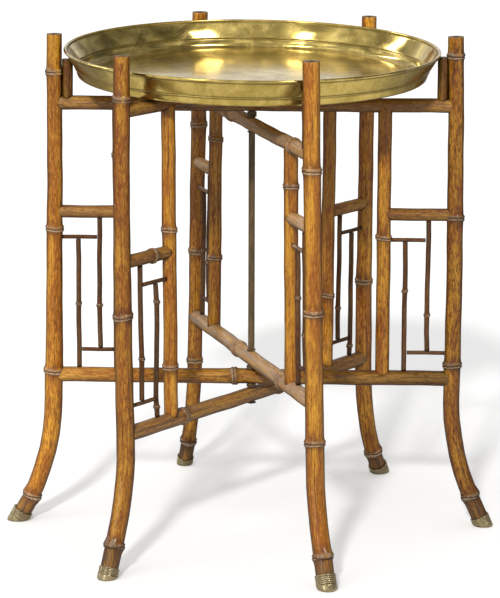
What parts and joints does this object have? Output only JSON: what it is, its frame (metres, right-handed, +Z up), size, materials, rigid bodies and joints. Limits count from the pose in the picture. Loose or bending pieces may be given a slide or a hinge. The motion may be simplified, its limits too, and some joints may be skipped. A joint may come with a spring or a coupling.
{
  "type": "brass tray table",
  "caption": "Round spun brass tray lying loose on a folding bamboo stand of crossed frames that turn on one upright iron rod.",
  "frame": {"origin": "on the floor, on the axis of the upright rod", "axes": "+Z up along the rod, +X along the middle frame towards the right leg, +Y towards the back legs"},
  "size_m": [0.6572, 0.6121, 0.6604],
  "materials": {
    "bamboo_leg": "glossy honey-brown bamboo, mottled and scorched, with pale thin lines at the knuckles",
    "bamboo_rail": "varnished bamboo, straw to orange brown, with darker streaks",
    "bamboo_twig": "dark brown varnished bamboo twig",
    "old_brass": "dull aged brass, dark in the grooves",
    "polished_brass": "polished yellow brass with light tarnish",
    "iron": "dark greenish-brown rusted iron"
  },
  "bodies": {
    "middle_frame": {"middle_top_rail": "bamboo_rail", "middle_lower_rail": "bamboo_rail", "right_leg": "bamboo_leg", "right_ferrule": "old_brass", "right_inner_post": "bamboo_leg", "right_mid_rail": "bamboo_rail", "right_fret_top_twig": "bamboo_twig", "right_fret_bottom_twig": "bamboo_twig", "right_fret_hanging_twig": "bamboo_twig", "right_fret_standing_twig": "bamboo_twig", "right_tray_rest": "bamboo_leg", "left_leg": "bamboo_leg", "left_ferrule": "old_brass", "left_inner_post": "bamboo_leg", "left_mid_rail": "bamboo_rail", "left_fret_top_twig": "bamboo_twig", "left_fret_bottom_twig": "bamboo_twig", "left_fret_hanging_twig": "bamboo_twig", "left_fret_standing_twig": "bamboo_twig", "left_tray_rest": "bamboo_leg", "pivot_rod": "iron"},
    "inner_frame": {"inner_top_rail": "bamboo_rail", "inner_lower_rail": "bamboo_rail", "back_left_leg": "bamboo_leg", "back_left_ferrule": "old_brass", "back_left_inner_post": "bamboo_leg", "back_left_mid_rail": "bamboo_rail", "back_left_fret_top_twig": "bamboo_twig", "back_left_fret_bottom_twig": "bamboo_twig", "back_left_fret_hanging_twig": "bamboo_twig", "back_left_fret_standing_twig": "bamboo_twig", "back_left_tray_rest": "bamboo_leg", "front_right_leg": "bamboo_leg", "front_right_ferrule": "old_brass", "front_right_inner_post": "bamboo_leg", "front_right_mid_rail": "bamboo_rail", "front_right_fret_top_twig": "bamboo_twig", "front_right_fret_bottom_twig": "bamboo_twig", "front_right_fret_hanging_twig": "bamboo_twig", "front_right_fret_standing_twig": "bamboo_twig", "front_right_tray_rest": "bamboo_leg"},
    "outer_frame": {"outer_top_rail": "bamboo_rail", "outer_lower_rail": "bamboo_rail", "back_right_leg": "bamboo_leg", "back_right_ferrule": "old_brass", "back_right_inner_post": "bamboo_leg", "back_right_mid_rail": "bamboo_rail", "back_right_fret_top_twig": "bamboo_twig", "back_right_fret_bottom_twig": "bamboo_twig", "back_right_fret_hanging_twig": "bamboo_twig", "back_right_fret_standing_twig": "bamboo_twig", "front_left_leg": "bamboo_leg", "front_left_ferrule": "old_brass", "front_left_inner_post": "bamboo_leg", "front_left_mid_rail": "bamboo_rail", "front_left_fret_top_twig": "bamboo_twig", "front_left_fret_bottom_twig": "bamboo_twig", "front_left_fret_hanging_twig": "bamboo_twig", "front_left_fret_standing_twig": "bamboo_twig"},
    "tray": {"brass_tray": "polished_brass"}
  },
  "joints": [
    {"name": "tray_lift", "type": "slide", "parent": "middle_frame", "child": "tray", "axis": [0, 0, 1], "range_m": [0, 0.12]},
    {"name": "inner_frame_swing", "type": "hinge", "parent": "middle_frame", "child": "inner_frame", "pos_m": [0, 0, 0.386], "axis": [0, 0, 1], "range_deg": [-20, 62]},
    {"name": "outer_frame_swing", "type": "hinge", "parent": "middle_frame", "child": "outer_frame", "pos_m": [0, 0, 0.386], "axis": [0, 0, 1], "range_deg": [-45, 5.5]}
  ]
}
